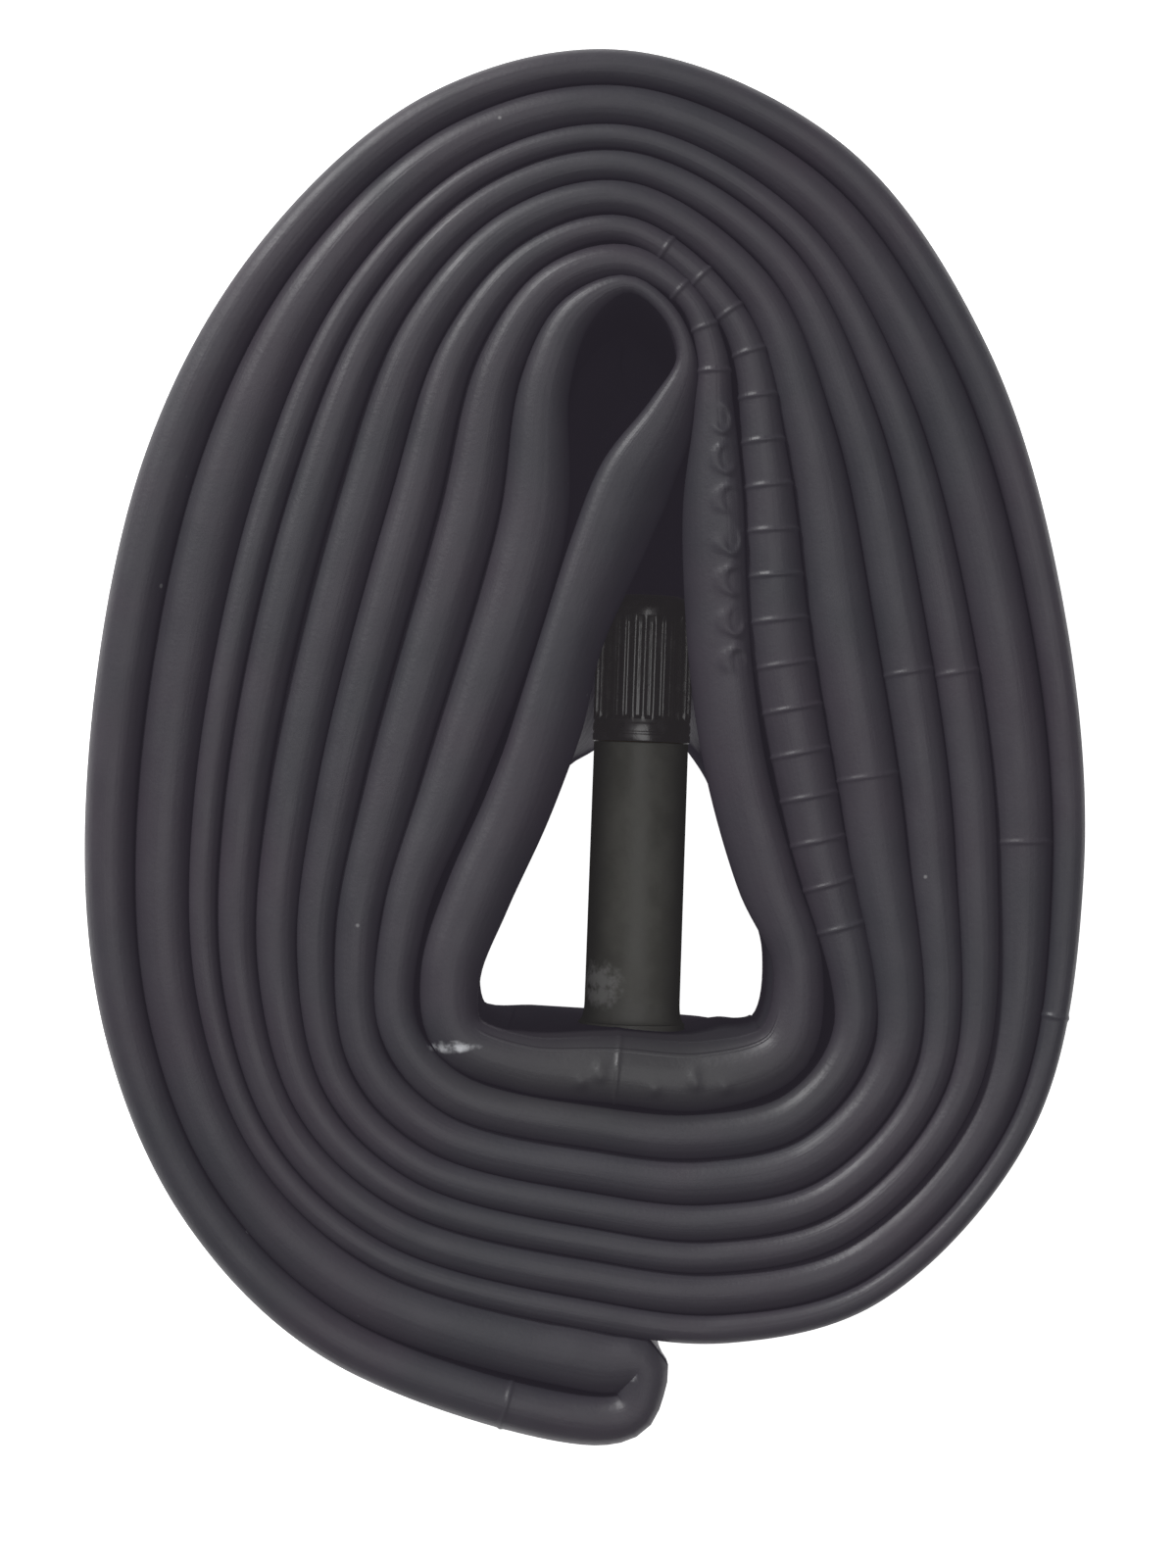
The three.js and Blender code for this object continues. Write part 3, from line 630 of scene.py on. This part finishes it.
class Material:
    """A short way to build a node material."""

    def __init__(self, name):
        self.made = bpy.data.materials.new(name)
        self.made.use_nodes = True
        self.nodes = self.made.node_tree.nodes
        self.links = self.made.node_tree.links
        self.shader = self.nodes["Principled BSDF"]

    def add(self, kind, **settings):
        node = self.nodes.new(kind)
        for key, value in settings.items():
            if key in node.inputs:
                node.inputs[key].default_value = value
            else:
                setattr(node, key, value)
        return node

    def link(self, source, target):
        self.links.new(source, target)

    def noise(self, vector, scale, detail=4.0, roughness=0.55):
        node = self.add("ShaderNodeTexNoise")
        node.inputs["Scale"].default_value = scale
        node.inputs["Detail"].default_value = detail
        node.inputs["Roughness"].default_value = roughness
        self.link(vector, node.inputs["Vector"])
        return node.outputs["Fac"]

    def ramp(self, value, low, high, start=0.0, end=1.0):
        """Eases value from start at low to end at high."""
        node = self.add("ShaderNodeMapRange", interpolation_type="SMOOTHSTEP")
        limits = {"From Min": low, "From Max": high, "To Min": start, "To Max": end}
        for key, number in limits.items():
            node.inputs[key].default_value = number
        self.link(value, node.inputs["Value"])
        return node.outputs["Result"]

    def mix(self, amount, first, second):
        """Mixes two colours, each a colour or an output."""
        node = self.add("ShaderNodeMix", data_type="RGBA")
        self.link(amount, node.inputs["Factor"])
        for colour, socket in ((first, node.inputs[6]), (second, node.inputs[7])):
            if isinstance(colour, tuple):
                socket.default_value = (*colour, 1.0)
            else:
                self.link(colour, socket)
        return node.outputs[2]

    def math(self, operation, first, second):
        node = self.add("ShaderNodeMath", operation=operation)
        for value, socket in ((first, node.inputs[0]), (second, node.inputs[1])):
            if isinstance(value, (int, float)):
                socket.default_value = value
            else:
                self.link(value, socket)
        return node.outputs[0]

    def place(self):
        return self.add("ShaderNodeTexCoord").outputs["Object"]

    def stretched(self, vector, scale):
        node = self.add("ShaderNodeMapping")
        node.inputs["Scale"].default_value = scale
        self.link(vector, node.inputs["Vector"])
        return node.outputs["Vector"]

    def bump(self, height, strength, distance, normal=None):
        node = self.add("ShaderNodeBump")
        node.inputs["Strength"].default_value = strength
        node.inputs["Distance"].default_value = distance
        self.link(height, node.inputs["Height"])
        if normal is not None:
            self.link(normal, node.inputs["Normal"])
        return node.outputs["Normal"]

    def near(self, centre, size):
        """1 at a point in the model's frame, falling to 0 at the given distances from it."""
        moved = self.add("ShaderNodeVectorMath", operation="SUBTRACT")
        self.link(self.place(), moved.inputs[0])
        moved.inputs[1].default_value = centre
        shrunk = self.add("ShaderNodeVectorMath", operation="DIVIDE")
        self.link(moved.outputs[0], shrunk.inputs[0])
        shrunk.inputs[1].default_value = size
        length = self.add("ShaderNodeVectorMath", operation="LENGTH")
        self.link(shrunk.outputs[0], length.inputs[0])
        return self.ramp(length.outputs["Value"], 0.0, 1.0, 1.0, 0.0)

    def height_of_normal(self):
        """How far a surface faces up: 1 on a level one and 0 on a wall."""
        parts = self.add("ShaderNodeSeparateXYZ")
        self.link(self.add("ShaderNodeNewGeometry").outputs["Normal"], parts.inputs[0])
        return parts.outputs["Z"]

    def haze(self, colour):
        """A trace of emission, for the veil of stray light that lifts every shadow."""
        self.shader.inputs["Emission Color"].default_value = (*colour, 1.0)
        self.shader.inputs["Emission Strength"].default_value = HAZE

    def uv(self):
        return self.add("ShaderNodeUVMap", uv_map="along").outputs["UV"]

    def outermost_wall(self):
        """1 on the outside of the roll: the outer wall of the second strand's last lap."""
        parts = self.add("ShaderNodeSeparateXYZ")
        self.link(self.uv(), parts.inputs[0])
        begins, full = (ROUTE.length - back for back in LAST_LAP)
        last_lap = self.ramp(parts.outputs["X"], begins, full)
        return self.math("MULTIPLY", last_lap, self.ramp(parts.outputs["Y"], *OUTER_WALL))

    def line_along(self, girth, width, start, end):
        """A fine line that runs along the tube at one place on its girth, from start to end."""
        parts = self.add("ShaderNodeSeparateXYZ")
        self.link(self.uv(), parts.inputs[0])
        away = self.math("ABSOLUTE", self.math("SUBTRACT", parts.outputs["Y"], girth), 0.0)
        line = self.ramp(away, width * 0.3, width, 1.0, 0.0)
        begun = self.ramp(parts.outputs["X"], start, start + 4.0)
        ended = self.ramp(parts.outputs["X"], end - 4.0, end, 1.0, 0.0)
        return self.math("MULTIPLY", line, self.math("MULTIPLY", begun, ended))

    def smear(self, centre, size, scale, threshold):
        """A ragged blot round a point."""
        ragged = self.math("MULTIPLY", self.near(centre, size), self.noise(self.place(), scale, 5))
        return self.ramp(ragged, threshold * 0.45, threshold)

    def specks(self, scale, size, share):
        """Fine scattered specks: a share of the cells, each with a small dot in it."""
        cells = self.add("ShaderNodeTexVoronoi")
        cells.inputs["Scale"].default_value = scale
        self.link(self.place(), cells.inputs["Vector"])
        dot = self.ramp(cells.outputs["Distance"], size * 0.5, size, 1.0, 0.0)
        split = self.add("ShaderNodeSeparateColor")
        self.link(cells.outputs["Color"], split.inputs["Color"])
        chosen = self.math("LESS_THAN", split.outputs[0], share)
        return self.math("MULTIPLY", dot, chosen)


def butyl():
    """Satin black rubber, a little uneven in tint, with a fine grain and a few specks of dust."""
    rubber = Material("butyl_rubber")
    place = rubber.place()
    tint = rubber.ramp(rubber.noise(place, 55, 3), 0.35, 0.65)
    colour = rubber.mix(tint, (0.0235, 0.0250, 0.0285), (0.0310, 0.0255, 0.0325))
    cloudy = rubber.ramp(rubber.noise(place, 190, 5), 0.3, 0.75, 0.0, 0.5)
    colour = rubber.mix(cloudy, colour, (0.037, 0.035, 0.041))
    seat = rubber.near(SEAT_MIDDLE, (0.024, 0.007, 0.05))
    colour = rubber.mix(seat, colour, (0.027, 0.028, 0.026))
    dust = rubber.specks(420, 0.11, 0.05)
    colour = rubber.mix(rubber.math("MULTIPLY", dust, 0.6), colour, (0.3, 0.3, 0.3))
    residue = rubber.smear(RESIDUE_CORNER, (0.0045, 0.0012, 0.006), 900, 0.5)
    colour = rubber.mix(residue, colour, (0.55, 0.56, 0.58))
    rubber.link(colour, rubber.shader.inputs["Base Color"])
    sheen = rubber.ramp(rubber.noise(place, 130, 4), 0.3, 0.7, 0.44, 0.56)
    rubber.link(
        rubber.math("SUBTRACT", sheen, rubber.math("MULTIPLY", seat, 0.05)),
        rubber.shader.inputs["Roughness"],
    )
    grain = rubber.noise(place, 2600, 3)
    drawn = rubber.noise(rubber.stretched(rubber.uv(), (0.03, 1.6, 1.0)), 1.0, 3)
    normal = rubber.bump(grain, 0.12, 0.0002)
    normal = rubber.bump(drawn, 0.12, 0.0004, normal)
    wrinkles = rubber.noise(rubber.stretched(rubber.uv(), (0.22, 0.03, 1.0)), 1.0, 1)
    normal = rubber.bump(wrinkles, 0.1, 0.0006, normal)
    edge = rubber.line_along(PATCH_LINE, 0.16, ROUTE.seat_points[3] - 6, ROUTE.seat_points[6] + 4)
    normal = rubber.bump(edge, 0.5, 0.0003, normal)
    for girth in SIDE_SEAMS:
        seam = rubber.line_along(girth, 0.3, 0.0, ROUTE.length)
        normal = rubber.bump(seam, 0.35, 0.0003, normal)
    rubber.link(normal, rubber.shader.inputs["Normal"])
    facing_up = rubber.ramp(rubber.height_of_normal(), 0.15, 0.6, 0.0, 0.45)
    outside = rubber.math("MULTIPLY", rubber.outermost_wall(), 0.3)
    rubber.link(
        rubber.math("MAXIMUM", facing_up, outside),
        rubber.shader.inputs["Specular IOR Level"],
    )
    rubber.haze((1.0, 0.86, 1.16))
    return rubber.made


def stem_rubber():
    """The stem's rubber: darker, a little olive, with old white solution round its foot, and shade
    painted darker down its sides.
    """
    rubber = Material("stem_rubber")
    place = rubber.place()
    worn = rubber.ramp(rubber.noise(place, 260, 5), 0.35, 0.7)
    colour = rubber.mix(worn, (0.088, 0.088, 0.074), (0.130, 0.130, 0.112))
    haze = rubber.smear(STEM_FOOT, (0.0065, 0.0035, 0.02), 420, 0.42)
    colour = rubber.mix(rubber.math("MULTIPLY", haze, 0.3), colour, (0.2, 0.2, 0.19))
    # Painted shade: the colour darkens down the stem's sides as they turn away from the light, so
    # its top is lightest.
    painted_side_shade = rubber.ramp(rubber.height_of_normal(), 0.35, 1.0, 0.95, 0.0)
    colour = rubber.mix(painted_side_shade, colour, (0.012, 0.012, 0.011))
    blot = rubber.smear(RESIDUE_STEM, (0.0042, 0.0046, 0.014), 1100, 0.5)
    colour = rubber.mix(rubber.math("MULTIPLY", blot, 0.85), colour, (0.36, 0.36, 0.35))
    rubber.link(colour, rubber.shader.inputs["Base Color"])
    rubber.link(rubber.ramp(worn, 0.0, 1.0, 0.44, 0.58), rubber.shader.inputs["Roughness"])
    grain = rubber.noise(place, 1400, 4)
    rubber.link(rubber.bump(grain, 0.2, 0.0002), rubber.shader.inputs["Normal"])
    facing_up = rubber.ramp(rubber.height_of_normal(), 0.3, 0.8, 0.0, 0.4)
    rubber.link(facing_up, rubber.shader.inputs["Specular IOR Level"])
    rubber.haze((1.0, 0.95, 0.95))
    return rubber.made


def cap_plastic():
    plastic = Material("cap_plastic")
    place = plastic.place()
    scuffs = plastic.ramp(plastic.noise(place, 600, 5), 0.45, 0.75)
    colour = plastic.mix(scuffs, (0.014, 0.013, 0.014), (0.030, 0.028, 0.030))
    plastic.link(colour, plastic.shader.inputs["Base Color"])
    plastic.link(plastic.ramp(scuffs, 0.0, 1.0, 0.24, 0.4), plastic.shader.inputs["Roughness"])
    plastic.link(plastic.bump(scuffs, 0.1, 0.0002), plastic.shader.inputs["Normal"])
    facing_up = plastic.ramp(plastic.height_of_normal(), 0.2, 0.8, 0.1, 1.0)
    plastic.link(facing_up, plastic.shader.inputs["Specular IOR Level"])
    plastic.haze((1.0, 0.9, 0.95))
    return plastic.made


def metal(name, dark, light, rough):
    """Machined metal with a fine turned grain and slightly dulled patches."""
    made = Material(name)
    place = made.place()
    dulled = made.ramp(made.noise(place, 900, 4), 0.35, 0.7)
    made.link(made.mix(dulled, light, dark), made.shader.inputs["Base Color"])
    made.link(made.ramp(dulled, 0.0, 1.0, rough, rough + 0.2), made.shader.inputs["Roughness"])
    rings = made.noise(made.stretched(place, (60.0, 6000.0, 60.0)), 1.0, 2)
    made.link(made.bump(rings, 0.15, 0.0001), made.shader.inputs["Normal"])
    made.shader.inputs["Metallic"].default_value = 1.0
    return made.made


def soft_trim(name, dark, light, rough):
    """A plain soft part, such as a seal, with a mottled surface."""
    made = Material(name)
    mottle = made.ramp(made.noise(made.place(), 1200, 4), 0.35, 0.65)
    made.link(made.mix(mottle, dark, light), made.shader.inputs["Base Color"])
    made.link(made.bump(mottle, 0.1, 0.0001), made.shader.inputs["Normal"])
    made.shader.inputs["Roughness"].default_value = rough
    return made.made


def floor_material():
    paper = Material("pale_floor")
    tint = paper.noise(paper.place(), 40, 2)
    colour = paper.mix(paper.ramp(tint, 0.3, 0.7), (0.90, 0.90, 0.90), (0.93, 0.93, 0.93))
    paper.link(colour, paper.shader.inputs["Base Color"])
    paper.shader.inputs["Roughness"].default_value = 0.9
    paper.shader.inputs["Specular IOR Level"].default_value = 0.1
    paper.shader.inputs["Emission Color"].default_value = (1.0, 1.0, 1.0, 1.0)
    paper.shader.inputs["Emission Strength"].default_value = 0.97
    return paper.made


# ---------- Camera, lights and floor ----------

CAMERA_HEIGHT = 0.275  # above the top of the roll
LENS = 75.5
FLOOR_SIZE = 60.0
FLOOR_DROP = 0.0003  # below the roll's foot


def add_camera():
    camera = bpy.data.objects.new("camera", bpy.data.cameras.new("camera"))
    bpy.context.scene.collection.objects.link(camera)
    camera.location = (*(DRAWING_SHIFT * MM), FLAT_WIDTH * MM + CAMERA_HEIGHT)
    camera.data.lens = LENS
    camera.data.sensor_width = 36.0
    camera.data.clip_start = 0.01
    camera.data.dof.use_dof = False
    bpy.context.scene.camera = camera


def add_light(name, place, size, power, aim=(0.0, 0.0, 0.02)):
    light = bpy.data.lights.new(name, "AREA")
    light.shape = "RECTANGLE"
    light.size, light.size_y = size
    light.energy = power
    lamp = bpy.data.objects.new(name, light)
    bpy.context.scene.collection.objects.link(lamp)
    lamp.location = place
    lamp.rotation_mode = "QUATERNION"
    lamp.rotation_quaternion = (Vector(place) - Vector(aim)).to_track_quat("Z", "Y")


def add_studio():
    world = bpy.data.worlds.new("studio")
    bpy.context.scene.world = world
    world.use_nodes = True
    world.node_tree.nodes["Background"].inputs["Color"].default_value = (1.0, 1.0, 1.0, 1.0)
    world.node_tree.nodes["Background"].inputs["Strength"].default_value = 0.15
    add_light("window", (-0.9, 1.15, 0.95), (0.35, 0.3), 24)
    add_light("overhead", (0.1, 0.1, 1.3), (1.0, 1.0), 4)
    bpy.context.scene.view_settings.view_transform = "Standard"


def add_floor():
    bpy.ops.mesh.primitive_plane_add(size=FLOOR_SIZE, location=(0.0, 0.0, -FLOOR_DROP))
    floor = bpy.context.object
    floor.name = "floor"
    floor.data.materials.append(floor_material())


# ---------- The scene ----------

add_camera()
add_studio()
add_floor()

BUTYL = butyl()
for skin in (roll_skin(), tail_skin(), patch()):
    skin.data.materials.append(BUTYL)
stem_cover().data.materials.append(stem_rubber())
dust_cap().data.materials.append(cap_plastic())

BRASS = metal("brass", (0.30, 0.19, 0.07), (0.62, 0.44, 0.19), 0.28)
STEEL = metal("steel", (0.28, 0.28, 0.29), (0.55, 0.55, 0.56), 0.22)
SEAL = soft_trim("seal_rubber", (0.11, 0.02, 0.015), (0.2, 0.04, 0.03), 0.6)
PTFE = soft_trim("ptfe", (0.55, 0.54, 0.5), (0.75, 0.73, 0.68), 0.45)
FINISH = {
    "stem_insert": BRASS,
    "core_plug": BRASS,
    "core_barrel": BRASS,
    "core_pin": BRASS,
    "core_cup": BRASS,
    "core_spring": STEEL,
    "core_seal": SEAL,
    "cap_seal": SEAL,
    "core_gasket": PTFE,
}
for node, finish in FINISH.items():
    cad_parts[node].data.materials.clear()
    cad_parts[node].data.materials.append(finish)
